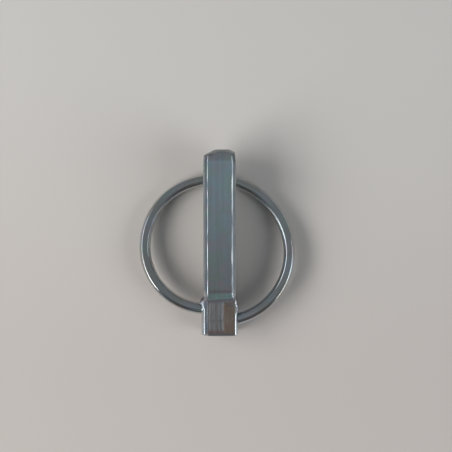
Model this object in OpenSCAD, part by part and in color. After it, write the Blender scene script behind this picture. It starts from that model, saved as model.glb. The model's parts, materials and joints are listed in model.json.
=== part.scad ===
// Linch pin: a square bar with a pressed head, and a sprung wire ring that is hinged in the head.
// The pin lies on its head and on the far side of the closed ring, as it comes to rest on a table.
// +Y runs along the bar to its tip, +X to the right and +Z up.

/* [Bar] */
// Size of the square bar across its flats
bar_flats = 10; // [9:0.25:11]
// Width of the bevel along each long corner of the bar
bar_bevel = 1.4; // [0.8:0.1:2]
// Radius of the bar's long edges
bar_edge_radius = 0.3; // [0.1:0.05:0.5]
// Overall length of the pin, from the end of its head to its tip
pin_length = 57.5; // [53:0.5:65]
// Radius of the flat at the tip
tip_flat_radius = 2.2; // [1:0.1:3]
// How far the tip's cone falls back from its flat over half the width of the bar
tip_fall = 1.4; // [0.6:0.1:3]
// How far the flat at the tip lies to the right of the bar's middle
tip_offset = 0.8; // [0:0.1:1]
// Length of the gentle taper that leads the bar in, up to the tip
lead_in_length = 3.5; // [3:0.5:8]
// How far the taper has drawn in each flat by the tip
lead_in_depth = 0.4; // [0.1:0.05:0.6]

/* [Head] */
// Length of the pressed faces, from the end of the head
head_length = 11.4; // [10:0.2:14]
// Length of the slope from the pressed faces up to the bar
head_slope = 2.4; // [1:0.1:4]
// Width of the head across its sides
head_width = 11.3; // [10.5:0.1:13]
// Thickness of the head between its pressed faces
head_thickness = 8.7; // [8:0.1:9.5]
// Width of the slanting edges along the left of the head, beside its pressed faces
left_slant = 2.1; // [1:0.1:2.4]
// Width of the slanting edges along the right of the head
right_slant = 1.6; // [1:0.1:2.4]
// How far the slanting edges fall from the pressed faces to the head's sides
slant_fall = 2.6; // [1.5:0.1:3]
// Rounding at the end of the head
head_end_edge = 0.5; // [0.2:0.1:1]
// How far the metal squeezed out by the press stands proud of the head's sides
bulge_height = 0.4; // [0.2:0.05:0.6]
// Radius of the squeezed-out bulges
bulge_radius = 4; // [3:0.25:5]
// Distance of the left bulge from the end of the head
left_bulge_along = 10.2; // [8:0.1:11]
// Distance of the right bulge from the end of the head
right_bulge_along = 8.4; // [6:0.1:11]

/* [Hinge] */
// Distance of the hinge from the end of the head
hinge_along = 6.35; // [5:0.05:7]
// Distance along the bar between the two ends of the ring
end_offset = 3.2; // [2.6:0.1:3.6]
// Clearance all round the halved ends of the ring in their bore
pivot_clearance = 0.05; // [0.02:0.01:0.1]
// Gap between the two halved ends, which lie side by side in the bore
halving_gap = 0.1; // [0.06:0.02:0.2]
// How far each halved end stops short of the head's far side
halving_setback = 0.4; // [0.2:0.1:1]
// Gap between the ring's shoulders and the sides of the head
shoulder_gap = 0.1; // [0.06:0.02:0.3]
// Room between the revolving shoulders and the rim of the pocket they turn in
pocket_clearance = 0.2; // [0.1:0.05:0.4]

/* [Ring] */
// Diameter of the ring's wire
wire_diameter = 3.5; // [3:0.1:4]
// Straight length at each end of the wire, outside the head
end_straight = 1; // [0.5:0.1:2]
// Slope of the wire where it leaves the right side of the head, in degrees
right_end_slope = 17; // [8:1:22]
// Slope of the wire where it leaves the left side of the head, in degrees
left_end_slope = 8; // [4:1:12]
// Radius of the ring's right side, to the middle of the wire
right_radius = 21.4; // [18:0.1:25]
// How far the right side turns, in degrees
right_turn = 87; // [75:1:95]
// Radius of the ring's far side, which passes under the bar
far_radius = 23.6; // [20:0.1:27]
// How far the far side turns, in degrees
far_turn = 96; // [85:1:110]
// Gap between the closed ring and the bar's lower flat
rest_gap = 0.12; // [0.08:0.02:0.3]

/* [Hidden] */

curve_steps = 96;         // segments in a full turn of a round surface
edge_steps = 3;           // strips in a rounded long edge
head_step = 0.6;          // distance between the outlines that the head is drawn through, at most
weld = 0.05;              // overlap that joins the halved ends to the wire
joint_swell = 0.01;       // how much rounder the wire is where two of its arcs are welded
past = 1;                 // how far a cutting shape reaches beyond what it cuts

wire_radius = wire_diameter / 2;
head_side = head_width / 2;
shoulder_at = head_side + shoulder_gap;
reach_of_ends = end_offset / 2 + wire_radius;
pocket_radius = reach_of_ends + pocket_clearance;

// The ring is a chain of arcs in its own plane, run from its right end to its left one. The hinge
// is at the plane's origin and the far side is towards +Y. A heading is the angle of travel from
// +X, and each arc turns left about a centre that lies at a right angle to its heading.
function ahead(heading) = [cos(heading), sin(heading)];
function inward(heading) = ahead(heading + 90);

right_shoulder = [shoulder_at, -end_offset / 2];
right_heading = right_end_slope;
right_start = right_shoulder + end_straight * ahead(right_heading);
right_centre = right_start + right_radius * inward(right_heading);
far_heading = right_heading + right_turn;
far_start = right_centre - right_radius * inward(far_heading);
far_centre = far_start + far_radius * inward(far_heading);
left_heading = far_heading + far_turn;
left_start = far_centre - far_radius * inward(left_heading);

// Two arcs close the ring. They run smoothly on from the far side, into one another and into the
// straight left end, and their tangents at the two outer joints are equally long.
left_shoulder = -right_shoulder;
end_heading = 360 - left_end_slope;
last_stop = left_shoulder - end_straight * ahead(end_heading);
closing_span = last_stop - left_start;
closing_aim = closing_span * (ahead(left_heading) + ahead(end_heading));
closing_bend = 2 * (1 - ahead(left_heading) * ahead(end_heading));
closing_tangent = (sqrt(closing_aim ^ 2 + closing_bend * (closing_span * closing_span)) - closing_aim)
    / closing_bend;
last_start = (left_start + last_stop + closing_tangent * (ahead(left_heading) - ahead(end_heading))) / 2;

left_chord = last_start - left_start;
left_radius = (left_chord * left_chord) / (2 * left_chord * inward(left_heading));
left_centre = left_start + left_radius * inward(left_heading);
last_chord = last_start - last_stop;
last_radius = (last_chord * last_chord) / (2 * last_chord * inward(end_heading));
last_centre = last_stop + last_radius * inward(end_heading);
last_inward = last_centre - last_start;
last_heading = atan2(last_inward.y, last_inward.x) - 90 + 360;
left_turn = last_heading - left_heading;
last_turn = end_heading - last_heading;

// The closed ring leans down from the hinge so that its far side passes just under the bar.
ring_reach = far_centre.y + far_radius;
ring_lean = asin((bar_flats / 2 + wire_radius + rest_gap) / ring_reach);

// At rest the pin is tilted so that the head's end edge and the ring's far side share one level.
far_along = hinge_along + ring_reach * cos(ring_lean) - head_end_edge;
far_below_head = ring_reach * sin(ring_lean) - head_thickness / 2;
rest_tilt = asin(wire_radius / norm([far_along, far_below_head])) + atan2(far_below_head, far_along);
rest_lift = head_thickness / 2 * cos(rest_tilt) - head_end_edge * sin(rest_tilt);

// The origin is under the middle of the whole part.
ring_left_edge = last_centre.x - last_radius - wire_radius;
ring_right_edge = right_centre.x + right_radius + wire_radius;
tip_y = pin_length * cos(rest_tilt) + tip_flat_radius * sin(rest_tilt);
end_y = -(head_thickness / 2 - head_end_edge) * sin(rest_tilt);
rest_place = [-(ring_left_edge + ring_right_edge) / 2, -(tip_y + end_y) / 2, rest_lift];

$fn = curve_steps;

// One quarter of the bar's outline, from the middle of a side to the middle of the top. The slant
// between side and top has two rounded edges, each an arc about its own centre.
function edge_arc(centre, from, to) = [
    for (step = [0 : edge_steps]) let (angle = from + (to - from) * step / edge_steps)
        centre + bar_edge_radius * [cos(angle), sin(angle)]
];

function quarter(half_width, half_height, slant, fall) = let (
    lean = atan2(slant, fall),
    low_inset = fall + bar_edge_radius * tan(lean / 2),
    top_inset = slant + bar_edge_radius * tan(45 - lean / 2)
) concat(
    edge_arc([half_width - bar_edge_radius, half_height - low_inset], 0, lean),
    edge_arc([half_width - top_inset, half_height - bar_edge_radius], lean, 90)
);

function flipped(points, x, y) = [for (point = points) [x * point.x, y * point.y]];
function reversed(points) = [for (i = [len(points) - 1 : -1 : 0]) points[i]];

function outline_of(left, right) = concat(
    right,
    reversed(flipped(left, -1, 1)),
    flipped(left, -1, -1),
    reversed(flipped(right, 1, -1))
);

function bar_outline(drawn_in) = let (
    side = quarter(bar_flats / 2 - drawn_in, bar_flats / 2 - drawn_in, bar_bevel, bar_bevel)
) outline_of(side, side);

// How far the squeezed-out metal stands proud of a side, at a distance from the middle of its bulge.
function proud(distance) =
    max(0, sqrt(max(0, bulge_radius ^ 2 - distance ^ 2)) - bulge_radius + bulge_height);

// The head's outline at a distance from its end. From the head's length on it grows into the bar's.
// The bulges widen the slants and leave the pressed faces as they are.
function head_outline(along) = let (
    left_proud = proud(along - left_bulge_along),
    right_proud = proud(along - right_bulge_along),
    on_bar = max(0, (along - head_length) / head_slope),
    drawn_in = head_end_edge * max(0, 1 - along / head_end_edge),
    half_width = head_side + (bar_flats / 2 - head_side) * on_bar - drawn_in,
    half_height = (head_thickness + (bar_flats - head_thickness) * on_bar) / 2 - drawn_in,
    fall = slant_fall + (bar_bevel - slant_fall) * on_bar
) outline_of(
    quarter(half_width + left_proud, half_height,
        left_slant + (bar_bevel - left_slant) * on_bar + left_proud, fall),
    quarter(half_width + right_proud, half_height,
        right_slant + (bar_bevel - right_slant) * on_bar + right_proud, fall)
);

// Distances from one place along the bar up to another, which is left out, in even steps.
function steps_between(from, to) = let (count = ceil((to - from) / head_step))
    [for (step = [0 : count - 1]) from + (to - from) * step / count];

// A solid skin through outlines that stand across the bar at the given distances along it.
module drawn_through(outlines, distances) {
    count = len(outlines[0]);
    last = len(outlines) - 1;
    polyhedron(
        points = [
            for (i = [0 : last], point = outlines[i]) [point.x, distances[i], point.y]
        ],
        faces = concat(
            [[for (j = [count - 1 : -1 : 0]) j]],
            [
                for (i = [0 : last - 1], j = [0 : count - 1])
                    let (here = i * count, beyond = here + count, next = (j + 1) % count)
                        each [
                            [here + j, here + next, beyond + next],
                            [here + j, beyond + next, beyond + j]
                        ]
            ],
            [[for (j = [0 : count - 1]) last * count + j]]
        )
    );
}

// Everything that the cone and the flat at the tip leave standing.
module tip_envelope() {
    fall_per_mm = tip_fall / (bar_flats / 2 - tip_flat_radius);
    outer = bar_flats;
    translate([tip_offset, 0, 0])
        rotate([-90, 0, 0])
            rotate_extrude()
                polygon([
                    [0, -past],
                    [outer, -past],
                    [outer, pin_length - fall_per_mm * (outer - tip_flat_radius)],
                    [tip_flat_radius, pin_length],
                    [0, pin_length]
                ]);
}

// The head is pressed thinner than the bar and its end is a little narrower all round. The bar is
// drawn in a little towards its tip, and runs on past the tip before the cone trims it.
module pressed_bar() {
    head_stops = concat(
        [0],
        steps_between(head_end_edge, head_length),
        steps_between(head_length, head_length + head_slope)
    );
    past_tip = pin_length + past;
    drawn_in_past_tip = lead_in_depth * (past_tip - pin_length + lead_in_length) / lead_in_length;
    drawn_through(
        concat(
            [for (stop = head_stops) head_outline(stop)],
            [bar_outline(0), bar_outline(0), bar_outline(drawn_in_past_tip)]
        ),
        concat(head_stops, [head_length + head_slope, pin_length - lead_in_length, past_tip])
    );
}

// A cylinder across the pin, about the hinge or about a line that lies beside it.
module across(from, to, radius, beside = 0) {
    translate([from, beside, 0])
        rotate([0, 90, 0])
            cylinder(h = to - from, r = radius);
}

module pin_in_line() {
    difference() {
        intersection() {
            pressed_bar();
            tip_envelope();
        }
        translate([0, hinge_along, 0]) {
            across(-head_width, head_width, wire_radius + pivot_clearance);
            across(head_side, head_side + bulge_height + past, pocket_radius);
            across(-head_side - bulge_height - past, -head_side, pocket_radius);
        }
    }
}

// One arc of the ring's wire.
module wire_arc(centre, radius, heading, turn) {
    translate([centre.x, centre.y, 0])
        rotate([0, 0, heading - 90])
            rotate_extrude(angle = turn)
                translate([radius, 0])
                    circle(r = wire_radius);
}

// Welds two lengths of wire where they meet, with the ball's poles on the wire's middle line.
module weld_ball(joint, heading) {
    translate([joint.x, joint.y, 0])
        rotate([0, 90, heading])
            sphere(r = wire_radius + joint_swell);
}

// The straight end of the wire, run on into the head before it is trimmed at its shoulder.
module wire_end(shoulder, outward_heading) {
    translate([shoulder.x, shoulder.y, 0])
        rotate([0, 0, outward_heading])
            across(-wire_radius, end_straight, wire_radius);
}

// Each end is halved: only the part of the wire that lies inside the pivot's circle, on its own
// side of the middle, goes through the bore.
module halved_end(side) {
    far_stop = head_side - halving_setback;
    low = side > 0 ? -far_stop : -shoulder_at - weld;
    high = side > 0 ? shoulder_at + weld : far_stop;
    intersection() {
        across(low, high, wire_radius);
        across(low, high, wire_radius, -side * end_offset / 2);
        translate([low, side > 0 ? -wire_diameter : halving_gap / 2, -wire_diameter])
            cube([high - low, wire_diameter - halving_gap / 2, 2 * wire_diameter]);
    }
}

module ring_in_plane() {
    difference() {
        union() {
            wire_arc(right_centre, right_radius, right_heading, right_turn);
            wire_arc(far_centre, far_radius, far_heading, far_turn);
            wire_arc(left_centre, left_radius, left_heading, left_turn);
            wire_arc(last_centre, last_radius, last_heading, last_turn);
            wire_end(right_shoulder, right_heading);
            wire_end(left_shoulder, end_heading - 180);
            weld_ball(right_start, right_heading);
            weld_ball(far_start, far_heading);
            weld_ball(left_start, left_heading);
            weld_ball(last_start, last_heading);
            weld_ball(last_stop, end_heading);
        }
        translate([-shoulder_at, -2 * reach_of_ends, -wire_diameter])
            cube([2 * shoulder_at, 4 * reach_of_ends, 2 * wire_diameter]);
    }
    halved_end(1);
    halved_end(-1);
}

// Lays the pin and its ring on the table.
module at_rest() {
    translate(rest_place)
        rotate([rest_tilt, 0, 0])
            children();
}

module pin_body() {
    color("slategray")
        at_rest()
            pin_in_line();
}

module spring_ring() {
    color("dimgray")
        at_rest()
            translate([0, hinge_along, 0])
                rotate([-ring_lean, 0, 0])
                    ring_in_plane();
}

pin_body();
spring_ring();
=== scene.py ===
"""The looks of a linch pin that lies on a pale table: a pressed square bar with a sprung wire ring.

The two pieces are modelled in millimetres, each in its own plane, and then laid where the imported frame
says. In the bar's own plane the head's end is at the origin, +Y runs to the tip and +Z is up. In the
ring's own plane the hinge is at the origin and +Y runs to the far side of the ring.
"""

import json
import math

import bmesh
import bpy
import numpy as np
from mathutils import Matrix, Vector


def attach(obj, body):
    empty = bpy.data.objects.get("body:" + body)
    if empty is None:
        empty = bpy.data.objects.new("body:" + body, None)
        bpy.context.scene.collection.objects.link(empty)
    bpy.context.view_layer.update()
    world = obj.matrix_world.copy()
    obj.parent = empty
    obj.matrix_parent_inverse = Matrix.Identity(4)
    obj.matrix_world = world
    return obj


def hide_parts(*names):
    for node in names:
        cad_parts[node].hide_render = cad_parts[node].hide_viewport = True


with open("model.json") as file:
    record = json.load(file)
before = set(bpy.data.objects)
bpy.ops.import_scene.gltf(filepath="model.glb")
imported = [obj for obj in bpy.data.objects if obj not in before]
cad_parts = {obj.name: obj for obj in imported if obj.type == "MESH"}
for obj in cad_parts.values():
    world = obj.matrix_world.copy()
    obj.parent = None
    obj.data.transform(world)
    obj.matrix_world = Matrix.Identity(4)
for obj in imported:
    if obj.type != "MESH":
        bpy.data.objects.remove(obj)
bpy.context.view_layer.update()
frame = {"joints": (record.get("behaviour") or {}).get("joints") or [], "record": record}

MM = 0.001
SHARP_ANGLE = 35

# --- Sizes, in millimetres and degrees -----------------------------------------------------------

# A slant is in three parts, from a top or bottom face down to a side. Each has its width and its fall.
BAR_LEFT_SLANT = ((0.17, 0.105), (0.66, 0.62), (0.57, 0.57))
BAR_RIGHT_SLANT = ((0.4, 0.25), (0.5, 0.46), (0.45, 0.44))
PIN_LENGTH = 57.5
TIP_FLAT_RADIUS = 2.2
TIP_FALL = 1.4
TIP_OFFSET = 0.8
TIP_OUTER_ROUND = 0.5
TIP_INNER_ROUND = 0.8
# The cropping tool closed from the sides, so the fall is slighter over the upper and lower faces.
TIP_FLATNESS = 0.62
# How far the cone falls back further, for each mm above or below the flat.
TIP_LEAN = 0.09
LEAD_IN_LENGTH = 3.5
LEAD_IN_DEPTH = 0.42

HEAD_LENGTH = 11.4
HEAD_SLOPE = 2.4
HEAD_WIDTH = 11.3
HEAD_THICKNESS = 8.7
HEAD_LEFT_SLANT = ((1.02, 0.94), (0.2, 0.125), (0.8, 1.55))
HEAD_RIGHT_SLANT = ((0.06, 0.07), (0.31, 0.195), (0.5, 1.95))
HEAD_END_ROUND = 0.5
# The thickness rises to the bar's over the whole slope. The width narrows sooner, from just before
# the head's length to just past it.
SLOPE_FOOT_ROUND = 0.9
SLOPE_TOP_ROUND = 0.8
NARROWING_START = HEAD_LENGTH - 0.3
NARROWING_STOP = HEAD_LENGTH + 1.1
BULGE_HEIGHT = 0.4
BULGE_RADIUS = 4
LEFT_BULGE_ALONG = 10.2
RIGHT_BULGE_ALONG = 8.4

HINGE_ALONG = 6.35
END_OFFSET = 3.2
PIVOT_CLEARANCE = 0.05
HALVING_GAP = 0.1
HALVING_SETBACK = 0.4
SHOULDER_GAP = 0.1
POCKET_CLEARANCE = 0.2
# Keeps the pockets' floors out of the plane of the head's sides, where a cut would leave slivers.
POCKET_FLOOR_LIFT = 0.004

WIRE_RADIUS = 1.75
END_STRAIGHT = 1
RIGHT_END_SLOPE = 17
LEFT_END_SLOPE = 8
RIGHT_RADIUS = 21.4
RIGHT_TURN = 87
FAR_RADIUS = 23.6
FAR_TURN = 96
REST_GAP = 0.12

HEAD_SIDE = HEAD_WIDTH / 2
SHOULDER_AT = HEAD_SIDE + SHOULDER_GAP
POCKET_RADIUS = END_OFFSET / 2 + WIRE_RADIUS + POCKET_CLEARANCE
BORE_RADIUS = WIRE_RADIUS + PIVOT_CLEARANCE

# --- Places, from the frame ----------------------------------------------------------------------

mounts = {mount["name"]: mount for mount in frame["record"]["mounts"]}
hinge = Vector(frame["joints"][0]["pos_m"])
bar_axis = Vector(mounts["bar_in_hole"]["axis"])
bar_up = Vector(mounts["bar_flat"]["axis"])
bar_half = (Vector(mounts["bar_flat"]["pos_m"]) - Vector(mounts["bar_in_hole"]["pos_m"])).dot(bar_up) / MM
rest_tilt = math.atan2(bar_axis.z, bar_axis.y)
bar_start = hinge - bar_axis * HINGE_ALONG * MM
tip_fall_per_mm = TIP_FALL / (bar_half - TIP_FLAT_RADIUS)


# --- Mesh helpers --------------------------------------------------------------------------------

def rounded_ramp(value, start, stop, start_round, stop_round):
    """0 before start and 1 after stop, straight in between, with both corners rounded."""
    def corner(distance, rounding):
        inside = np.clip(distance + rounding, 0, 2 * rounding) ** 2 / (4 * rounding)
        return np.where(distance > rounding, distance, inside)
    return (corner(value - start, start_round) - corner(value - stop, stop_round)) / (stop - start)


def smooth_step(value, start, stop):
    share = np.clip((value - start) / (stop - start), 0, 1)
    return share * share * (3 - 2 * share)


def bump_at(value, middle, half_width):
    """A smooth hump of height 1 that is gone at half_width from its middle."""
    return np.clip(1 - ((value - middle) / half_width) ** 2, 0, None) ** 2


def unit(vectors):
    return vectors / np.linalg.norm(vectors, axis=-1, keepdims=True)


def direction_to(azimuth, elevation):
    """The way to a place round the table. Azimuth 0 is towards +X and 90 towards +Y."""
    a, e = math.radians(azimuth), math.radians(elevation)
    return math.cos(a) * math.cos(e), math.sin(a) * math.cos(e), math.sin(e)


def rounded_outlines(corners, radii, straight_steps, round_steps):
    """Rounds the inner corners of many outlines at once, and puts steps in the stretches between.

    corners has a row of corners for each outline. The result has a row for each point along them.
    """
    bends = [corners[None, :, 0]]
    for i, radius in enumerate(radii, start=1):
        radius = radius * np.ones(len(corners))
        corner = corners[:, i]
        back, on = unit(corners[:, i - 1] - corner), unit(corners[:, i + 1] - corner)
        half = np.arccos(np.clip((back * on).sum(-1), -1, 1)) / 2
        centre = corner + unit(back + on) * (radius / np.sin(half))[:, None]
        reach = (radius / np.tan(half))[:, None]
        share = np.linspace(0, 1, round_steps)[:, None, None]
        chord = (corner + back * reach - centre) * (1 - share) + (corner + on * reach - centre) * share
        bends.append(centre + unit(chord) * radius[:, None])
    bends.append(corners[None, :, -1])
    rows = [bends[0]]
    for before, after, steps in zip(bends, bends[1:], straight_steps):
        share = np.linspace(0, 1, steps + 1)[1:-1, None, None]
        rows += [before[-1] * (1 - share) + after[0] * share, after]
    return np.concatenate(rows)


def grid_mesh(name, rings, first_centre, last_centre):
    """A closed skin over rings of points, with a fan of triangles at each end, that faces outwards."""
    count = rings.shape[1]
    vertices = [*rings.reshape(-1, 3), first_centre, last_centre]
    first, last = len(vertices) - 2, len(vertices) - 1
    faces = []
    for i in range(len(rings) - 1):
        for j in range(count):
            k = (j + 1) % count
            faces.append((i * count + j, (i + 1) * count + j, (i + 1) * count + k, i * count + k))
    end = (len(rings) - 1) * count
    for j in range(count):
        k = (j + 1) % count
        faces.append((first, j, k))
        faces.append((last, end + k, end + j))
    mesh = bpy.data.meshes.new(name)
    mesh.from_pydata([tuple(v) for v in vertices], [], faces)
    mesh.validate()
    # A cut takes nothing away from a skin that faces inwards.
    skin = bmesh.new()
    skin.from_mesh(mesh)
    bmesh.ops.recalc_face_normals(skin, faces=skin.faces)
    skin.to_mesh(mesh)
    skin.free()
    return mesh


def new_object(name, mesh):
    piece = bpy.data.objects.new(name, mesh)
    bpy.context.scene.collection.objects.link(piece)
    return piece


def stepped_cylinder_across(steps, beside):
    """A turned shape along X, about a line that lies beside the origin along Y.

    steps lists the place along X and the radius at each corner of its profile.
    """
    angles = np.linspace(0, 2 * math.pi, 128, endpoint=False)
    rings = np.array([
        np.stack([0 * angles + place, beside + radius * np.cos(angles), radius * np.sin(angles)], -1)
        for place, radius in steps
    ])
    return grid_mesh("turned", rings, (steps[0][0], beside, 0), (steps[-1][0], beside, 0))


def prism_across(low, high, outline):
    rings = np.stack([outline + (low, 0, 0), outline + (high, 0, 0)])
    middle = outline.mean(0)
    return grid_mesh("prism", rings, middle + (low, 0, 0), middle + (high, 0, 0))


def combine(piece, meshes, operation):
    """Adds the meshes to the piece, or cuts them out of it."""
    for mesh in meshes:
        other = new_object("other", mesh)
        step = piece.modifiers.new("combine", "BOOLEAN")
        step.object = other
        step.operation = operation
        step.solver = "EXACT"
        bpy.context.view_layer.update()
        result = bpy.data.meshes.new_from_object(piece.evaluated_get(bpy.context.evaluated_depsgraph_get()))
        piece.modifiers.clear()
        piece.data = result
        bpy.data.objects.remove(other)


def edge_sharpness(mesh):
    """How sharply the surface bends outwards at each vertex, from 0 on a plain face to 1 on an edge."""
    bend = np.zeros(len(mesh.verts))
    for vertex in mesh.verts:
        area = sum(face.calc_area() for face in vertex.link_faces) / 3
        turned = sum(edge.calc_face_angle_signed(0) * edge.calc_length() for edge in vertex.link_edges)
        bend[vertex.index] = turned / (4 * max(area, 1e-4))
    sharpness = smooth_step(bend, 0.5, 1.8)
    ends = np.array([[vertex.index for vertex in edge.verts] for edge in mesh.edges])
    for _ in range(2):
        total, count = sharpness.copy(), np.ones(len(sharpness))
        for here, there in (ends.T, ends.T[::-1]):
            np.add.at(total, here, sharpness[there])
            np.add.at(count, here, 1)
        sharpness = total / count
    return sharpness


def finish_mesh(piece, place, marks):
    """Welds the mesh, marks its sharp edges and lays it in place, in metres.

    marks has functions that work out what the finish needs to know at each point, in millimetres.
    """
    mesh = bmesh.new()
    mesh.from_mesh(piece.data)
    bmesh.ops.remove_doubles(mesh, verts=mesh.verts, dist=0.0005)
    bmesh.ops.recalc_face_normals(mesh, faces=mesh.faces)
    mesh.verts.index_update()
    for face in mesh.faces:
        face.smooth = True
    for edge in mesh.edges:
        edge.smooth = edge.calc_face_angle(0) < math.radians(SHARP_ANGLE)
    sharpness = edge_sharpness(mesh)
    mesh.to_mesh(piece.data)
    mesh.free()
    points = np.array([vertex.co for vertex in piece.data.vertices])
    values = {name: work_out(points) for name, work_out in marks.items()}
    values["edge"] = sharpness
    for name, value in values.items():
        if value.ndim == 2:
            attribute = piece.data.attributes.new(name, "FLOAT_VECTOR", "POINT")
            attribute.data.foreach_set("vector", value.astype(np.float32).ravel())
        else:
            attribute = piece.data.attributes.new(name, "FLOAT", "POINT")
            attribute.data.foreach_set("value", value.astype(np.float32))
    piece.data.transform(place @ Matrix.Scale(MM, 4))


# --- The bar -------------------------------------------------------------------------------------

# The press's furrows: how far across the head each one lies, and how deep it is.
FURROWS = ((-3.05, 0.018), (-2.3, 0.012), (-1.68, 0.016), (-0.77, 0.01), (-0.16, 0.016))


def mark_lines(along):
    """How far the press's lines wander across the head, and where its ridge runs."""
    wander = 0.1 * np.sin(along * 0.7 + 1) + 0.05 * np.sin(along * 1.9)
    return wander, 1.0 + wander - 0.02 * along


class BarOutline:
    """The bar's outline all round, at any distances from the end of the head."""

    # The steps from the middle of a top or bottom face to the middle of a side.
    TOP_STEPS, LOW_STEPS, SLANT_STEPS, SIDE_STEPS, ROUND_STEPS = 40, 12, 3, 6, 6

    def points(self, along):
        """Places across and upward, in a row for each distance along the bar."""
        right, left = (self.quarter(along, side, self.TOP_STEPS) for side in (1, -1))
        low_right, low_left = (self.quarter(along, side, self.LOW_STEPS) for side in (1, -1))
        right, left = self.marked(right, along), self.marked(left, along)
        loop = [right[:, :-1], low_right[:, :0:-1] * (1, -1), low_left[:, :-1] * (1, -1), left[:, :0:-1]]
        return np.concatenate(loop, axis=1)

    def quarter(self, along, side, face_steps):
        """The outline from the middle of a face, over the slant, to the middle of one side."""
        on_bar = self.risen_share(along)
        in_width = rounded_ramp(along, NARROWING_START, NARROWING_STOP, 0.4, 0.5)
        drawn_in = LEAD_IN_DEPTH * rounded_ramp(along, PIN_LENGTH - LEAD_IN_LENGTH, PIN_LENGTH, 0.6, 0.6)
        short_of_round = np.clip(HEAD_END_ROUND - along, 0, HEAD_END_ROUND)
        drawn_in = drawn_in + HEAD_END_ROUND - np.sqrt(HEAD_END_ROUND ** 2 - short_of_round ** 2)
        bulge = self.bulge(along, side)
        half_width = HEAD_SIDE + (bar_half - HEAD_SIDE) * in_width + bulge - drawn_in
        half_height = HEAD_THICKNESS / 2 + (bar_half - HEAD_THICKNESS / 2) * on_bar - drawn_in

        head_slant = np.array(HEAD_RIGHT_SLANT if side > 0 else HEAD_LEFT_SLANT)
        bar_slant = np.array(BAR_RIGHT_SLANT if side > 0 else BAR_LEFT_SLANT)
        slant = head_slant + (bar_slant - head_slant) * in_width[:, None, None]
        slant[:, 0] += self.unevenness(along, side)[:, None]
        slant[:, 0] += bulge[:, None] * (1, 0.92)
        slant[:, 2, 1] -= bulge * 0.92
        to_side = np.cumsum(slant, axis=1)
        face_edge = half_width - to_side[:, -1, 0]
        corners = [(0 * along, half_height), (face_edge, half_height)]
        corners += [(face_edge + to_side[:, i, 0], half_height - to_side[:, i, 1]) for i in range(3)]
        corners += [(half_width, 0 * along)]
        corners = np.stack([np.stack(corner, -1) for corner in corners], axis=1)

        radii = (0.1, 0.2, 0.2, 0.45 - 0.15 * on_bar)
        steps = (face_steps, self.SLANT_STEPS, self.SLANT_STEPS, self.SLANT_STEPS, self.SIDE_STEPS)
        outline = rounded_outlines(corners, radii, steps, self.ROUND_STEPS)
        return outline.transpose(1, 0, 2) * (side, 1)

    def risen_share(self, along):
        """How far the slope has risen, from 0 on the head to 1 on the bar."""
        top = HEAD_LENGTH + HEAD_SLOPE
        return rounded_ramp(along, HEAD_LENGTH, top, SLOPE_FOOT_ROUND, SLOPE_TOP_ROUND)

    def bulge(self, along, side):
        """How far the metal that the press squeezed out stands proud of a side."""
        middle = RIGHT_BULGE_ALONG if side > 0 else LEFT_BULGE_ALONG
        reach = np.sqrt(np.clip(BULGE_RADIUS ** 2 - (along - middle) ** 2, 0, None))
        proud = reach - BULGE_RADIUS + BULGE_HEIGHT
        blend = 0.08
        return (proud + np.sqrt(proud ** 2 + blend ** 2)) / 2 - blend ** 2 / (4 * BULGE_HEIGHT)

    def unevenness(self, along, side):
        """How much wider or narrower a slant is along the bar, which was drawn and not milled."""
        phase = 0.0 if side > 0 else 2.1
        return 0.03 * np.sin(along * 0.31 + phase) + 0.02 * np.sin(along * 0.83 + 2 * phase)

    def marked(self, outline, along):
        """The outline with what the press left on the upper face, which fades out down the slants."""
        x, z = outline[..., 0], outline[..., 1]
        below_face = z[:, :1] - z
        marks = self.face_marks(x, along[:, None]) * (1 - smooth_step(below_face, 0.1, 2.0))
        return np.stack([x, z + marks], -1)

    def face_marks(self, x, along):
        """How far the press left its face above or below the flat."""
        wander, ridge = mark_lines(along)
        on_face = 1 - smooth_step(along, 9.2, 10.6)
        step = 0.05 * smooth_step(x, ridge - 0.25, ridge + 0.1)
        lean = -0.075 * np.clip(x - ridge, 0, None)
        furrows = 0
        for middle, depth in FURROWS:
            furrows -= depth * bump_at(x, middle + 0.6 * wander, 0.35)
        furrows *= 1 - 0.7 * bump_at(along, 4.9, 0.9)
        furrows *= smooth_step(along, 1.2, 2.4)
        ripples = 0.004 * np.sin(along * 8.0 + x) * bump_at(along, 8.8, 1.6) * smooth_step(x, 1.1, 1.4)
        fall = -0.10 * np.clip((2.1 - along) / 2.1, 0, None) ** 2
        return on_face * (step + lean + furrows + ripples) + fall + self.slope_marks(x, along)

    def slope_marks(self, x, along):
        """The slope's foot runs a little askew, and the press left it faintly rippled."""
        rise = bar_half - HEAD_THICKNESS / 2
        top = HEAD_LENGTH + HEAD_SLOPE
        foot = HEAD_LENGTH + 0.14 * x - 0.02 * x ** 2
        askew = rounded_ramp(along, foot, top, 0.5, SLOPE_TOP_ROUND) - self.risen_share(along)
        ripples = 0.01 * np.sin(along * 7.5) * bump_at(along, HEAD_LENGTH + 1.3, 1.2)
        return rise * askew + ripples


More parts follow.
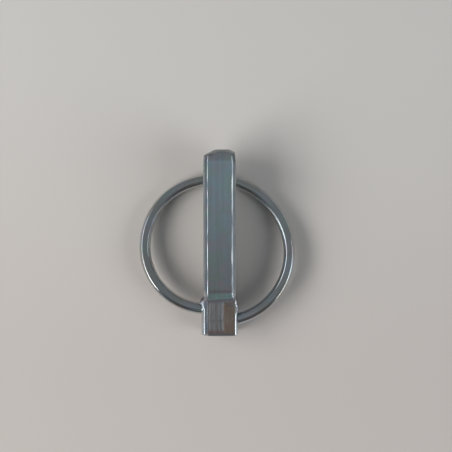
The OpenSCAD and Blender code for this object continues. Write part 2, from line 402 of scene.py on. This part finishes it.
def tip_rings(outline, start):
    """The bar's last stretch: the lead-in, the shallow cone and the flat, run inwards to the middle."""
    innermost = 0.3
    middle, squash = np.array([TIP_OFFSET, 0]), np.array([1, TIP_FLATNESS])
    first = outline.points(np.array([start]))[0]
    stop = np.full(len(first), float(PIN_LENGTH - TIP_FALL))
    for _ in range(12):
        edge = np.diagonal(outline.points(stop)).T - middle
        radius = np.linalg.norm(edge * squash, axis=-1)
        stop = PIN_LENGTH - tip_fall_per_mm * (radius - TIP_FLAT_RADIUS)
    nothing = 0 * radius
    corners = np.stack([
        np.stack([np.linalg.norm((first - middle) * squash, axis=-1), nothing + start], -1),
        np.stack([radius, stop], -1),
        np.stack([nothing + TIP_FLAT_RADIUS, nothing + PIN_LENGTH], -1),
        np.stack([nothing + innermost, nothing + PIN_LENGTH], -1),
    ], axis=1)
    profiles = rounded_outlines(corners, (TIP_OUTER_ROUND, TIP_INNER_ROUND), (2, 3, 4), 9)
    across = profiles[:, :, :1] * (edge / radius[:, None]) + middle
    lean = TIP_LEAN * np.clip(np.abs(across[..., 1]) - TIP_FLAT_RADIUS, 0, None)
    along = profiles[..., 1] - lean * smooth_step(profiles[..., 1], PIN_LENGTH - 1.6, PIN_LENGTH - 0.6)
    return np.stack([across[..., 0], along, across[..., 1]], -1)[1:]


def pin_mesh():
    outline = BarOutline()
    end_stations = HEAD_END_ROUND * (1 - np.cos(np.linspace(0, math.pi / 2, 8)))
    head_stations = np.arange(HEAD_END_ROUND + 0.12, HEAD_LENGTH + HEAD_SLOPE + 1, 0.13)
    bar_stations = np.arange(HEAD_LENGTH + HEAD_SLOPE + 1.2, PIN_LENGTH - LEAD_IN_LENGTH - 1, 0.6)
    tip_stations = PIN_LENGTH - LEAD_IN_LENGTH + np.linspace(-0.8, 0.55, 7)
    stations = np.concatenate([end_stations, head_stations, bar_stations, tip_stations])
    outlines = outline.points(stations)
    body = np.stack([outlines[..., 0], stations[:, None] + 0 * outlines[..., 0], outlines[..., 1]], -1)
    end_face = np.stack([body[0] * (share, 1, share) for share in np.linspace(0.08, 0.96, 8)])
    rings = np.concatenate([end_face, body, tip_rings(outline, stations[-1])])
    return grid_mesh("pressed_bar", rings, (0, 0, 0), (TIP_OFFSET, PIN_LENGTH, 0))


def pressed_share(points):
    """1 on the head's pressed faces and 0 elsewhere."""
    along, z = points[:, 1], points[:, 2]
    in_face = smooth_step(np.abs(z), HEAD_THICKNESS / 2 - 0.35, HEAD_THICKNESS / 2 - 0.2)
    return in_face * (1 - smooth_step(along, 10.0, 11.2)) * smooth_step(along, 0.3, 1.0)


def highlight_lines_share(points):
    """1 along the furrows' rims and the ridge of the pressed face, where a painted highlight makes the
    plate pale.
    """
    x, along, z = points.T
    wander, ridge = mark_lines(along)
    lines = bump_at(x, ridge + 0.03, 0.6)
    for (middle, _), strength in zip(FURROWS, (1.0, 0.45, 0.7, 0.2, 0.6)):
        lines = np.maximum(lines, strength * bump_at(x, middle + 0.6 * wander, 0.46))
    lines *= 1 - 0.5 * bump_at(along, 4.9, 0.7)
    return lines * (z > 0) * pressed_share(points) * smooth_step(along, 1.2, 2.6)


def brown_reflection_share(points):
    """1 on the part of the pressed face past the ridge, where a painted brown reflection tints the plate.
    """
    x, along, z = points.T
    ridge = mark_lines(along)[1]
    past_ridge = np.maximum(smooth_step(x, ridge + 0.15, ridge + 0.35), 1 - smooth_step(along, 1.4, 2.6))
    return past_ridge * (z > 0) * pressed_share(points)


def dark_end_share(points):
    """1 on the bar's two ends, sheared and cropped, and 0 along it. The finish makes them darker and
    duller.
    """
    x, along, z = points.T
    past_flat = np.clip(np.hypot(x - TIP_OFFSET, z * TIP_FLATNESS) - TIP_FLAT_RADIUS, 0, None)
    to_tip = PIN_LENGTH - along - tip_fall_per_mm * past_flat
    return np.maximum(1 - smooth_step(to_tip, 0.15, 0.45), 1 - smooth_step(along, 0.1, 0.45))


def make_pressed_bar():
    piece = new_object("pressed_bar", pin_mesh())
    far = HEAD_SIDE + BULGE_HEIGHT + 1
    floor = HEAD_SIDE + POCKET_FLOOR_LIFT
    half = [(floor, BORE_RADIUS), (floor, POCKET_RADIUS), (far, POCKET_RADIUS)]
    steps = [(-place, radius) for place, radius in half[::-1]] + half
    combine(piece, [stepped_cylinder_across(steps, HINGE_ALONG)], "DIFFERENCE")
    marks = {"bar_place": lambda points: points, "pressed": pressed_share, "marks_and_highlight": highlight_lines_share,
             "brown_reflection": brown_reflection_share, "dark_ends": dark_end_share}
    finish_mesh(piece, Matrix.Translation(bar_start) @ Matrix.Rotation(rest_tilt, 4, "X"), marks)
    return piece


# --- The ring ------------------------------------------------------------------------------------

def ahead(heading):
    return np.array([math.cos(math.radians(heading)), math.sin(math.radians(heading))])


def inward(heading):
    return ahead(heading + 90)


def ring_arcs():
    """The arcs of the ring in its own plane: centre, radius, first heading and turn. Each turns left."""
    right_start = np.array([SHOULDER_AT, -END_OFFSET / 2]) + END_STRAIGHT * ahead(RIGHT_END_SLOPE)
    right_centre = right_start + RIGHT_RADIUS * inward(RIGHT_END_SLOPE)
    far_heading = RIGHT_END_SLOPE + RIGHT_TURN
    far_centre = right_centre + (FAR_RADIUS - RIGHT_RADIUS) * inward(far_heading)
    left_heading = far_heading + FAR_TURN
    left_start = far_centre - FAR_RADIUS * inward(left_heading)
    end_heading = 360 - LEFT_END_SLOPE
    last_stop = np.array([-SHOULDER_AT, END_OFFSET / 2]) - END_STRAIGHT * ahead(end_heading)

    span = last_stop - left_start
    aim = span @ (ahead(left_heading) + ahead(end_heading))
    bend = 2 * (1 - ahead(left_heading) @ ahead(end_heading))
    tangent = (math.sqrt(aim ** 2 + bend * (span @ span)) - aim) / bend
    last_start = (left_start + last_stop + tangent * (ahead(left_heading) - ahead(end_heading))) / 2
    left_chord, last_chord = last_start - left_start, last_start - last_stop
    left_radius = (left_chord @ left_chord) / (2 * left_chord @ inward(left_heading))
    last_radius = (last_chord @ last_chord) / (2 * last_chord @ inward(end_heading))
    left_centre = left_start + left_radius * inward(left_heading)
    last_centre = last_stop + last_radius * inward(end_heading)
    last_inward = last_centre - last_start
    last_heading = math.degrees(math.atan2(last_inward[1], last_inward[0])) - 90 + 360
    return [
        (right_centre, RIGHT_RADIUS, RIGHT_END_SLOPE, RIGHT_TURN),
        (far_centre, FAR_RADIUS, far_heading, FAR_TURN),
        (left_centre, left_radius, left_heading, last_heading - left_heading),
        (last_centre, last_radius, last_heading, end_heading - last_heading),
    ]


def wire_line(arcs):
    """Places and headings along the middle of the wire, from the right shoulder to the left one."""
    steps_per_degree = 0.9
    places = [np.array([SHOULDER_AT, -END_OFFSET / 2])]
    headings = [RIGHT_END_SLOPE]
    for centre, radius, heading, turn in arcs:
        for turned in np.linspace(0, turn, int(turn * steps_per_degree), endpoint=False):
            places.append(centre - radius * inward(heading + turned))
            headings.append(heading + turned)
    last_stop = arcs[-1][0] - arcs[-1][1] * inward(360 - LEFT_END_SLOPE)
    places += [last_stop, np.array([-SHOULDER_AT, END_OFFSET / 2])]
    headings += [360 - LEFT_END_SLOPE] * 2
    return np.array(places), np.array(headings)


def wire_mesh(places, headings):
    angles = np.linspace(0, 2 * math.pi, 56, endpoint=False)
    rings = []
    for place, heading in zip(places, headings):
        outward = -inward(heading)
        ring = np.array([
            (*(place + WIRE_RADIUS * math.cos(a) * outward), WIRE_RADIUS * math.sin(a)) for a in angles])
        rings.append(ring)
    shoulders = (rings[0], headings[0], SHOULDER_AT), (rings[-1], headings[-1], -SHOULDER_AT)
    for ring, heading, shoulder in shoulders:
        slide = (shoulder - ring[:, 0]) / ahead(heading)[0]
        ring[:, :2] += slide[:, None] * ahead(heading)
    first, last = rings[0].mean(0), rings[-1].mean(0)
    return grid_mesh("sprung_ring", np.array(rings), first, last)


def halved_end(side):
    """One of the wire's two halved ends, which lie side by side in the bore."""
    far_stop = HEAD_SIDE - HALVING_SETBACK
    weld = 0.05
    across = np.linspace(HALVING_GAP / 2, WIRE_RADIUS, 24)
    pivot = np.sqrt(np.clip(WIRE_RADIUS ** 2 - across ** 2, 0, None))
    wire = np.sqrt(np.clip(WIRE_RADIUS ** 2 - (across - END_OFFSET / 2) ** 2, 0, None))
    height = np.minimum(pivot, wire)
    outline = [(0, -side * y, z) for y, z in zip(across, height)]
    outline += [(0, -side * y, -z) for y, z in zip(across[-2::-1], height[-2::-1])]
    outline = np.array(outline)
    if side > 0:
        return prism_across(-far_stop, SHOULDER_AT + weld, outline)
    return prism_across(-SHOULDER_AT - weld, far_stop, outline)


def make_sprung_ring():
    arcs = ring_arcs()
    places, headings = wire_line(arcs)
    piece = new_object("sprung_ring", wire_mesh(places, headings))
    combine(piece, [halved_end(1), halved_end(-1)], "UNION")
    reach = arcs[1][0][1] + FAR_RADIUS
    lean = math.asin((bar_half + WIRE_RADIUS + REST_GAP) / reach)

    def wire_place(points):
        """The place round the wire and the distance along it, in millimetres."""
        lengths = np.linalg.norm(np.diff(places, axis=0), axis=1)
        distances = np.concatenate([[0], np.cumsum(lengths)])
        apart = points[:, None, :2] - places[None]
        nearest = (apart ** 2).sum(-1).argmin(1)
        outward = -np.array([inward(heading) for heading in headings])
        sideways = (apart[np.arange(len(points)), nearest] * outward[nearest]).sum(-1)
        return np.stack([sideways, distances[nearest], points[:, 2]], -1)

    marks = {"wire_place": wire_place}
    finish_mesh(piece, Matrix.Translation(hinge) @ Matrix.Rotation(rest_tilt - lean, 4, "X"), marks)
    return piece


# --- Finishes ------------------------------------------------------------------------------------

TINT_PLAIN = (0.60, 0.625, 0.64, 1)
TINT_BLUE = (0.57, 0.64, 0.69, 1)
TINT_VIOLET = (0.64, 0.61, 0.655, 1)
TINT_GREEN = (0.56, 0.645, 0.61, 1)
WORN_METAL = (0.68, 0.69, 0.69, 1)
DARK_END_METAL = (0.28, 0.30, 0.305, 1)
WARM_PLATE = (0.56, 0.545, 0.515, 1)
# Painted reflection: the brown on the head's facet past the ridge.
BROWN_REFLECTION_PLATE = (0.56, 0.485, 0.425, 1)
BAR_SHADE = (0.50, 0.535, 0.55)
WIRE_SHADE = (0.46, 0.49, 0.49)
BRIGHT_STREAK = (0.75, 0.77, 0.78, 1)
PIT_SHADE = (0.2, 0.2, 0.2, 1)
PRESSED_PLATE = (0.455, 0.46, 0.465, 1)
# Painted highlight on the pressed faces' scratches, furrow rims and ridge.
SCRATCH_HIGHLIGHT_PLATE = (0.93, 0.94, 0.95, 1)
BAR_RELIEF = 0.000004
WIRE_RELIEF = 0.000003
# Painted light and shade on the table: lighter towards +Y and darker towards -Y.
TABLE_SHADED_SIDE = (0.60, 0.56, 0.53, 1)
TABLE_LIT_SIDE = (0.665, 0.645, 0.62, 1)
# Painted shade: the table goes dark far from the pin, so that the steel reflects a dark horizon.
TABLE_FAR_SHADE = (0.12, 0.13, 0.14, 1)


class Nodes:
    """Adds nodes to a tree and joins them up, in few words."""

    def __init__(self, tree):
        self.tree = tree

    def add(self, kind, settings=None, **inputs):
        node = self.tree.nodes.new(kind)
        for key, value in (settings or {}).items():
            setattr(node, key, value)
        for key, value in inputs.items():
            self.feed(node.inputs[key.replace("_", " ")], value)
        return node

    def math(self, operation, first, second, third=None):
        node = self.tree.nodes.new("ShaderNodeMath")
        node.operation = operation
        for socket, value in zip(node.inputs, (first, second, third)):
            if value is not None:
                self.feed(socket, value)
        return node.outputs["Value"]

    def vector_math(self, operation, first, second):
        node = self.tree.nodes.new("ShaderNodeVectorMath")
        node.operation = operation
        self.feed(node.inputs[0], first)
        self.feed(node.inputs[1], second)
        return node.outputs["Vector"]

    def moved(self, place, shift):
        return self.vector_math("ADD", place, shift)

    def noise(self, place, scale, detail, roughness):
        node = self.add("ShaderNodeTexNoise", Vector=place, Scale=scale, Detail=detail, Roughness=roughness)
        return node.outputs["Fac"]

    def ramp(self, value, start, stop):
        """0 at start and 1 at stop, with a smooth rise between and level beyond."""
        node = self.add("ShaderNodeMapRange", {"interpolation_type": "SMOOTHSTEP"}, Value=value,
                        From_Min=start, From_Max=stop)
        return node.outputs["Result"]

    def attribute(self, name, output):
        return self.add("ShaderNodeAttribute", {"attribute_name": name}).outputs[output]

    def effect(self, group, **inputs):
        return self.add("ShaderNodeGroup", {"node_tree": group}, **inputs).outputs

    def mix(self, share, first, second):
        """A colour between two, by a share from 0 to 1."""
        node = self.tree.nodes.new("ShaderNodeMix")
        node.data_type = "RGBA"
        self.feed(node.inputs["Factor"], share)
        self.feed(node.inputs[6], first)
        self.feed(node.inputs[7], second)
        return node.outputs[2]

    def feed(self, socket, value):
        if isinstance(value, bpy.types.NodeSocket):
            self.tree.links.new(value, socket)
        else:
            socket.default_value = value


def new_material(name):
    material = bpy.data.materials.new(name)
    material.use_nodes = True
    material.node_tree.nodes.clear()
    nodes = Nodes(material.node_tree)
    shader = nodes.add("ShaderNodeBsdfPrincipled")
    output = nodes.add("ShaderNodeOutputMaterial")
    nodes.tree.links.new(shader.outputs["BSDF"], output.inputs["Surface"])
    return material, nodes, shader


class Effect:
    """A shader node group with named inputs and outputs, which more than one finish uses."""

    def __init__(self, name, inputs, outputs):
        self.group = bpy.data.node_groups.new(name, "ShaderNodeTree")
        for title, (kind, value) in inputs.items():
            socket = self.group.interface.new_socket(title, in_out="INPUT", socket_type="NodeSocket" + kind)
            if value is not None:
                socket.default_value = value
        for title, kind in outputs.items():
            self.group.interface.new_socket(title, in_out="OUTPUT", socket_type="NodeSocket" + kind)
        self.nodes = Nodes(self.group)
        self.inputs = self.nodes.add("NodeGroupInput").outputs
        self.outputs = self.nodes.add("NodeGroupOutput").inputs

    def put_out(self, **values):
        for title, value in values.items():
            self.nodes.feed(self.outputs[title], value)


def make_plate_tints():
    """Soft clouds of blue, green and violet, as thin zinc plate has."""
    effect = Effect("plate_tints", {"Place": ("Vector", None), "Cloud size": ("Float", 4.0),
                                    "Strength": ("Float", 1.0)}, {"Colour": "Color", "Cloud": "Float"})
    nodes, inputs = effect.nodes, effect.inputs
    scale = nodes.math("DIVIDE", 1.0, inputs["Cloud size"])
    clouds = nodes.noise(inputs["Place"], scale, 2.0, 0.55)
    other_clouds = nodes.noise(nodes.moved(inputs["Place"], (17.0, 5.0, 9.0)), scale, 2.0, 0.5)
    violet_share = nodes.ramp(clouds, 0.42, 0.62)
    green_share = nodes.ramp(other_clouds, 0.45, 0.65)
    tint = nodes.mix(violet_share, TINT_BLUE, TINT_VIOLET)
    tint = nodes.mix(green_share, tint, TINT_GREEN)
    effect.put_out(Colour=nodes.mix(inputs["Strength"], TINT_PLAIN, tint), Cloud=clouds)
    return effect.group


def make_drawn_streaks():
    """Fine lines along the second axis of the place, left by drawing or rubbing."""
    effect = Effect("drawn_streaks", {"Place": ("Vector", None), "Lines per mm": ("Float", 3.0),
                                      "Length": ("Float", 20.0)}, {"Streaks": "Float", "Broad": "Float"})
    nodes, inputs = effect.nodes, effect.inputs
    stretch = nodes.add("ShaderNodeCombineXYZ", X=inputs["Lines per mm"], Z=inputs["Lines per mm"],
                        Y=nodes.math("DIVIDE", inputs["Lines per mm"], inputs["Length"])).outputs["Vector"]
    stretched = nodes.vector_math("MULTIPLY", inputs["Place"], stretch)
    fine = nodes.noise(stretched, 1.0, 3.0, 0.6)
    broad = nodes.noise(stretched, 0.27, 1.0, 0.5)
    effect.put_out(Streaks=nodes.ramp(fine, 0.36, 0.64), Broad=nodes.ramp(broad, 0.38, 0.62))
    return effect.group


def make_small_pits():
    """Scattered small pits and specks in the plate."""
    effect = Effect("small_pits", {"Place": ("Vector", None), "Per mm": ("Float", 0.8),
                                   "Share of cells": ("Float", 0.2)}, {"Pits": "Float"})
    nodes, inputs = effect.nodes, effect.inputs
    cells = nodes.add("ShaderNodeTexVoronoi", Vector=inputs["Place"], Scale=inputs["Per mm"])
    chance = nodes.add("ShaderNodeSeparateColor", Color=cells.outputs["Color"]).outputs["Red"]
    has_pit = nodes.math("LESS_THAN", chance, inputs["Share of cells"])
    size = nodes.math("MULTIPLY_ADD", chance, 0.5, 0.08)
    depth = nodes.math("SUBTRACT", 1.0, nodes.math("DIVIDE", cells.outputs["Distance"], size))
    effect.put_out(Pits=nodes.math("MULTIPLY", has_pit, nodes.ramp(depth, 0.0, 0.6)))
    return effect.group


def make_worn_edges():
    """Where the plate is rubbed along an edge, unevenly."""
    effect = Effect("worn_edges", {"Edge": ("Float", 0.0), "Place": ("Vector", None),
                                   "Reach": ("Float", 0.5)}, {"Wear": "Float"})
    nodes, inputs = effect.nodes, effect.inputs
    patches = nodes.noise(inputs["Place"], 1.7, 3.0, 0.6)
    patchy = nodes.math("MULTIPLY", nodes.math("SUBTRACT", patches, 0.5), 1.2)
    uneven = nodes.math("ADD", inputs["Edge"], patchy)
    start = nodes.math("SUBTRACT", 1.0, inputs["Reach"])
    worn = nodes.math("DIVIDE", nodes.math("SUBTRACT", uneven, start), 0.5)
    effect.put_out(Wear=nodes.math("MULTIPLY", inputs["Edge"], nodes.ramp(worn, 0.0, 1.0)))
    return effect.group


def plate(name, place_name, effects, cloud_size, tint_strength, streak_length, shade, roughness):
    """Bright zinc plate over drawn steel. Returns its parts, so that a piece can add its own marks."""
    material, nodes, shader = new_material(name)
    place = nodes.attribute(place_name, "Vector")
    edge = nodes.attribute("edge", "Fac")
    tints = nodes.effect(effects["tints"], Place=place, Cloud_size=cloud_size, Strength=tint_strength)
    streaks = nodes.effect(effects["streaks"], Place=place, Length=streak_length)
    pits = nodes.effect(effects["pits"], Place=place)
    worn = nodes.effect(effects["edges"], Edge=edge, Place=place)
    colour = nodes.mix(nodes.math("MULTIPLY", streaks["Broad"], 0.35), tints["Colour"], (*shade, 1))
    colour = nodes.mix(nodes.math("MULTIPLY", streaks["Streaks"], 0.12), colour, BRIGHT_STREAK)
    colour = nodes.mix(nodes.math("MULTIPLY", pits["Pits"], 0.5), colour, PIT_SHADE)
    colour = nodes.mix(nodes.math("MULTIPLY", worn["Wear"], 0.6), colour, WORN_METAL)
    rough = nodes.math("MULTIPLY_ADD", streaks["Streaks"], 0.05, roughness)
    rough = nodes.math("MULTIPLY_ADD", tints["Cloud"], 0.08, rough)
    rough = nodes.math("MULTIPLY_ADD", pits["Pits"], 0.2, rough)
    height = nodes.math("MULTIPLY_ADD", streaks["Streaks"], 0.5, streaks["Broad"])
    height = nodes.math("SUBTRACT", height, nodes.math("MULTIPLY", pits["Pits"], 4.0))
    shader.inputs["Metallic"].default_value = 1
    return material, nodes, shader, place, colour, rough, height


def finish_plate(nodes, shader, colour, rough, height, depth):
    bump = nodes.add("ShaderNodeBump", Height=height)
    bump.inputs["Distance"].default_value = depth
    nodes.feed(shader.inputs["Normal"], bump.outputs["Normal"])
    nodes.feed(shader.inputs["Base Color"], colour)
    nodes.feed(shader.inputs["Roughness"], rough)


def plated_bar(effects):
    """The bar's plate: streaked and clouded, with painted highlights on the pressed faces' scratches and
    ridge, a painted brown reflection past the ridge, and darker, duller ends.
    """
    material, nodes, shader, place, colour, rough, height = plate(
        "plated_bar", "bar_place", effects, 4.5, 1.0, 30.0, BAR_SHADE, 0.12)
    pressed = nodes.attribute("pressed", "Fac")
    brown_reflection = nodes.attribute("brown_reflection", "Fac")
    colour = nodes.mix(nodes.math("MULTIPLY", pressed, 0.7), colour, PRESSED_PLATE)
    # Painted reflection: the facet past the ridge is tinted brown, as it reflects a warm object beside the
    # table.
    colour = nodes.mix(nodes.math("MULTIPLY", brown_reflection, 0.75), colour, BROWN_REFLECTION_PLATE)
    # Painted highlight: the scratches and the lines along the furrows' rims and the ridge are made pale, as
    # they catch the windows' light. They are also rougher and raised.
    scratches = nodes.effect(effects["streaks"], Place=place, Lines_per_mm=1.9, Length=9.0)["Streaks"]
    scratches = nodes.math("MULTIPLY_ADD", scratches, 0.3, nodes.attribute("marks_and_highlight", "Fac"))
    marks_and_highlight = nodes.math("MULTIPLY", scratches, pressed)
    colour = nodes.mix(marks_and_highlight, colour, SCRATCH_HIGHLIGHT_PLATE)
    rough = nodes.math("MULTIPLY_ADD", marks_and_highlight, 0.1, rough)
    # Darker and duller on the two ends.
    dark_ends = nodes.attribute("dark_ends", "Fac")
    colour = nodes.mix(dark_ends, colour, DARK_END_METAL)
    rough = nodes.math("MULTIPLY_ADD", dark_ends, 0.25, rough)
    height = nodes.math("MULTIPLY_ADD", marks_and_highlight, 1.0, height)
    finish_plate(nodes, shader, colour, rough, height, BAR_RELIEF)
    return material


def plated_wire(effects):
    """The ring's plate: smoother than the bar's, over drawn wire."""
    material, nodes, shader, place, colour, rough, height = plate(
        "plated_wire", "wire_place", effects, 6.0, 0.9, 40.0, WIRE_SHADE, 0.09)
    warm = nodes.math("MULTIPLY", nodes.ramp(nodes.noise(place, 0.09, 1.0, 0.5), 0.44, 0.6), 0.8)
    colour = nodes.mix(warm, colour, WARM_PLATE)
    finish_plate(nodes, shader, colour, rough, height, WIRE_RELIEF)
    return material


# --- Table, light and camera ---------------------------------------------------------------------

def make_table():
    half = 4
    corners = [(-half, -half, 0), (half, -half, 0), (half, half, 0), (-half, half, 0)]
    mesh = bpy.data.meshes.new("table")
    mesh.from_pydata(corners, [], [(0, 1, 2, 3)])
    table = new_object("table", mesh)
    material, nodes, shader = new_material("pale_table")
    place = nodes.add("ShaderNodeTexCoord").outputs["Object"]
    rise = nodes.add("ShaderNodeSeparateXYZ", Vector=place).outputs["Y"]
    # Painted light and shade: the table is lighter towards +Y and darker towards -Y.
    near = nodes.mix(nodes.ramp(rise, -0.05, 0.07), TABLE_SHADED_SIDE, TABLE_LIT_SIDE)
    distance = nodes.add("ShaderNodeVectorMath", {"operation": "LENGTH"}, Vector=place)
    # Painted shade: far from the pin the table darkens, so that the steel reflects a dark horizon.
    far_shade = nodes.ramp(distance.outputs["Value"], 0.1, 0.3)
    nodes.feed(shader.inputs["Base Color"], nodes.mix(far_shade, near, TABLE_FAR_SHADE))
    shader.inputs["Roughness"].default_value = 0.8
    shader.inputs["Specular IOR Level"].default_value = 0.2
    mesh.materials.append(material)


def soft_light(name, azimuth, elevation, distance, width, height, watts, colour):
    light = bpy.data.lights.new(name, "AREA")
    light.shape = "RECTANGLE"
    light.size, light.size_y = width, height
    light.energy = watts
    light.color = colour
    lamp = bpy.data.objects.new(name, light)
    bpy.context.scene.collection.objects.link(lamp)
    towards = Vector(direction_to(azimuth, elevation))
    lamp.location = towards * distance
    lamp.rotation_mode = "QUATERNION"
    lamp.rotation_quaternion = towards.to_track_quat("Z", "Y")
    lamp.visible_glossy = False


# The room round the table: its colours high up and along the horizon, and soft patches. Each patch
# has its azimuth, its elevation, the angles where it is whole and where it is gone, and its colour.
ROOM_WALLS = (0.185, 0.20, 0.21)
ROOM_HORIZON = (0.095, 0.12, 0.15)
ROOM = [
    (270, 20, 30, 68, (0.085, 0.085, 0.09)),
    (270, 65, 5, 12, (0.15, 0.13, 0.145)),
    (270, 86, 1.5, 10.5, (0.24, 0.31, 0.34)),
    (270, 45, 4, 15, (0.185, 0.25, 0.24)),
    (299, 71, 4, 9, (0.20, 0.158, 0.13)),
    (190, 27, 12, 26, (0.28, 0.31, 0.33)),
    (345, 16, 9, 23, (0.25, 0.27, 0.29)),
]
# The bright tops of the two windows: azimuth, elevation and brightness, from one end to the other.
WINDOW_TOPS = [
    [(147, 27, 1.1), (160, 27, 2.2), (182, 27, 2.0), (196, 26, 3.3), (207, 25, 5.4), (214, 24, 5.0)],
    [(327, 12, 3.1), (340, 14, 3.8), (350, 17, 2.6), (362, 24, 1.2), (374, 27, 0.8)],
]


def window_glints():
    """Small bright patches in a row along each window's top."""
    glints = []
    for stops in WINDOW_TOPS:
        azimuths, elevations, levels = zip(*stops)
        for azimuth in np.arange(azimuths[0], azimuths[-1] + 1, 5.5):
            elevation = float(np.interp(azimuth, azimuths, elevations))
            level = float(np.interp(azimuth, azimuths, levels))
            glints.append((float(azimuth), elevation, 1.5, 6.0, (level, 1.03 * level, 1.08 * level)))
    return glints


def make_surroundings():
    world = bpy.data.worlds.new("room")
    bpy.context.scene.world = world
    world.use_nodes = True
    nodes = Nodes(world.node_tree)
    direction = nodes.add("ShaderNodeTexCoord").outputs["Generated"]
    upward = nodes.add("ShaderNodeSeparateXYZ", Vector=direction).outputs["Z"]
    near_horizon = nodes.ramp(upward, 0.22, 0.06)
    colour = nodes.mix(near_horizon, (*ROOM_WALLS, 1), (*ROOM_HORIZON, 1))
    for azimuth, elevation, inner, outer, patch in ROOM + window_glints():
        facing = nodes.add("ShaderNodeVectorMath", {"operation": "DOT_PRODUCT"})
        nodes.feed(facing.inputs[0], direction)
        nodes.feed(facing.inputs[1], direction_to(azimuth, elevation))
        gone, whole = math.cos(math.radians(outer)), math.cos(math.radians(inner))
        share = nodes.ramp(facing.outputs["Value"], gone, whole)
        colour = nodes.mix(share, colour, (*patch, 1))
    nodes.feed(world.node_tree.nodes["Background"].inputs["Color"], colour)
    soft_light("left_window", 190, 30, 0.8, 0.9, 0.42, 6.6, (1.0, 0.965, 0.93))
    soft_light("right_window", -20, 30, 0.8, 0.5, 0.4, 2.2, (0.95, 0.97, 1.0))


def make_camera():
    data = bpy.data.cameras.new("camera")
    camera = bpy.data.objects.new("camera", data)
    bpy.context.scene.collection.objects.link(camera)
    height, half_view = 300, 71.85
    camera.location = (2.8 * MM, 5.15 * MM, height * MM)
    data.angle = 2 * math.atan(half_view / height)
    data.clip_start, data.clip_end = 0.01, 20
    bpy.context.scene.camera = camera
    bpy.context.scene.view_settings.view_transform = "Standard"


# --- Put together --------------------------------------------------------------------------------

effects = {
    "tints": make_plate_tints(),
    "streaks": make_drawn_streaks(),
    "pits": make_small_pits(),
    "edges": make_worn_edges(),
}

pressed_bar = make_pressed_bar()
pressed_bar.data.materials.append(plated_bar(effects))
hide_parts("pin_body")
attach(pressed_bar, "pin")

sprung_ring = make_sprung_ring()
sprung_ring.data.materials.append(plated_wire(effects))
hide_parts("spring_ring")
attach(sprung_ring, "ring")

make_table()
make_surroundings()
make_camera()
